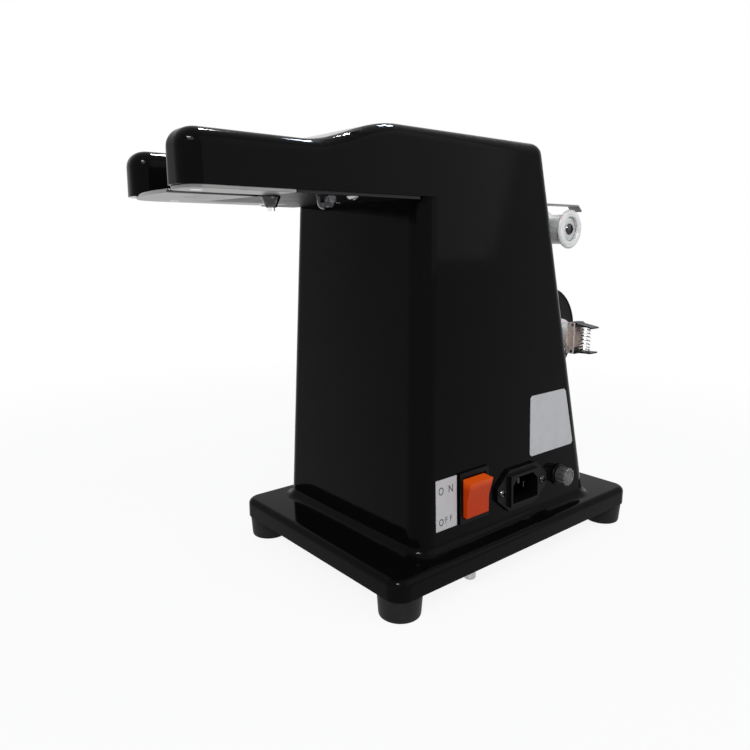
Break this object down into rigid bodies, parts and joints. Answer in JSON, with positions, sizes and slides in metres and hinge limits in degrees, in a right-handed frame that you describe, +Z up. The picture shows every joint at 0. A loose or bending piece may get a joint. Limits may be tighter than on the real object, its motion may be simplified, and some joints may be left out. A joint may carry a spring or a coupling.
{
  "type": "bag neck tying machine",
  "caption": "Desktop twist-tie bag sealer: leaning tower on a footed base, two-pronged head with a bag slot, side rocker switch and mains inlet, rear guide roller and reel clip.",
  "frame": {"origin": "centre of the outer box in plan, on the surface that the rubber feet stand on", "axes": "+Z up; -Y to the front, where the forked head reaches; +X to the side with the switch and the mains inlet; +Y to the rear rollers"},
  "size_m": [0.1626, 0.337, 0.2601],
  "materials": {
    "black_shell": "deep gloss black moulding",
    "black_steel": "satin black coat",
    "rubber": "satin black rubber",
    "steel": "brushed steel sheet",
    "bright": "bright plated",
    "zinc": "zinc plated satin",
    "orange": "clear orange moulding",
    "black_plastic": "fine matt black",
    "brass": "bright brass",
    "grey_plastic": "grey ribbed moulding",
    "white_nylon": "milky white nylon",
    "pink_block": "pinkish brown fibre",
    "label_white": "plain white printed film",
    "plate_silver": "plain silver film",
    "board_green": "green circuit board",
    "grey_cast": "grey cast gearbox",
    "clear_glass": "clear tube"
  },
  "bodies": {
    "machine": {"arm_plate_narrow": "steel", "arm_plate_wide": "steel", "base_bolt": "zinc", "base_plate": "black_steel", "board_parts": "black_plastic", "board_posts": "brass", "bracket_bolts": "zinc", "chassis": "black_steel", "clip_block": "pink_block", "clip_pins": "zinc", "clip_spring": "bright", "cone_nut": "bright", "control_board": "board_green", "dome_nut": "bright", "feed_collars": "brass", "foot_fasteners": "zinc", "fuse_holder": "black_plastic", "fuse_link": "clear_glass", "guide_stud": "bright", "head_cover": "black_steel", "head_screws": "zinc", "housing": "black_shell", "inlet_fasteners": "bright", "inlet_pins": "bright", "mains_inlet": "black_plastic", "motor_bracket": "steel", "motor_can": "zinc", "motor_gearbox": "grey_cast", "needle_clip": "zinc", "needle_pivot": "zinc", "rear_bracket": "black_steel", "reel_spindle": "zinc", "roller_axle": "zinc", "roller_guard": "steel", "roller_screw": "bright", "rubber_feet": "rubber", "side_plate": "plate_silver", "switch_frame": "black_plastic", "switch_label": "label_white", "tie_cutter": "steel", "transformer": "grey_cast", "trigger_stand": "steel", "trigger_switch": "black_plastic", "twister_bearing": "grey_cast"},
    "button": {"switch_button": "orange"},
    "fuse_cap": {"fuse_cap": "grey_plastic"},
    "roller": {"guide_roller": "white_nylon"},
    "reel": {"reel_disc": "black_plastic", "reel_hub": "white_nylon"},
    "clip_upper": {"clip_lever_upper": "black_steel"},
    "clip_lower": {"clip_lever_lower": "black_steel"},
    "trigger": {"trigger": "white_nylon"},
    "needle": {"needle_arm": "steel"},
    "twister": {"twister_shaft": "zinc", "twister_hook": "bright", "twister_gear": "brass"},
    "motor_rotor": {"motor_shaft": "zinc", "motor_pinion": "zinc"},
    "feed": {"feed_roller": "steel"},
    "idler": {"feed_idler": "rubber"}
  },
  "joints": [
    {"name": "switch_rock", "type": "hinge", "parent": "machine", "child": "button", "pos_m": [0.06746, -0.0008, 0.0545], "axis": [0, 1, 0], "range_deg": [-18, 0]},
    {"name": "fuse_cap_turn", "type": "hinge", "parent": "machine", "child": "fuse_cap", "pos_m": [0.06773, 0.0839, 0.0476], "axis": [0.9993, 0, 0.0387], "range_deg": [0, 60]},
    {"name": "guide_roller_spin", "type": "hinge", "parent": "machine", "child": "roller", "pos_m": [0.034, 0.1163, 0.21], "axis": [1, 0, 0], "continuous": true},
    {"name": "reel_spin", "type": "hinge", "parent": "machine", "child": "reel", "pos_m": [0.025, 0.1343, 0.1335], "axis": [1, 0, 0], "continuous": true},
    {"name": "clip_squeeze", "type": "hinge", "parent": "machine", "child": "clip_upper", "pos_m": [0.0436, 0.1343, 0.1431], "axis": [0, 1, 0], "range_deg": [0, 7], "stiffness_Nm_per_rad": 0.5, "springref_deg": -11.46, "deforming": ["clip_spring"]},
    {"name": "clip_squeeze_lower", "type": "hinge", "parent": "machine", "child": "clip_lower", "pos_m": [0.0436, 0.1343, 0.1239], "axis": [0, 1, 0], "range_deg": [-7, 0]},
    {"name": "trigger_press", "type": "slide", "parent": "machine", "child": "trigger", "axis": [0, 1, 0], "range_m": [0, 0.0035], "stiffness_N_per_m": 120, "springref_m": -0.002},
    {"name": "needle_swing", "type": "hinge", "parent": "machine", "child": "needle", "pos_m": [0.052, -0.094, 0.2395], "axis": [0, 0, 1], "range_deg": [-24, 0]},
    {"name": "twister_spin", "type": "hinge", "parent": "machine", "child": "twister", "pos_m": [0.0295, -0.024, 0.231], "axis": [0, 1, 0], "continuous": true},
    {"name": "motor_spin", "type": "hinge", "parent": "machine", "child": "motor_rotor", "pos_m": [0.0295, -0.024, 0.204], "axis": [0, 1, 0], "continuous": true},
    {"name": "feed_spin", "type": "hinge", "parent": "machine", "child": "feed", "pos_m": [0.034, 0.03, 0.233], "axis": [1, 0, 0], "continuous": true},
    {"name": "idler_spin", "type": "hinge", "parent": "machine", "child": "idler", "pos_m": [0.034, 0.03, 0.2474], "axis": [1, 0, 0], "continuous": true}
  ],
  "couplings": [
    {"joint": "motor_spin", "follows": "twister_spin", "ratio": -2},
    {"joint": "idler_spin", "follows": "feed_spin", "ratio": -1},
    {"joint": "clip_squeeze_lower", "follows": "clip_squeeze", "ratio": -1}
  ]
}
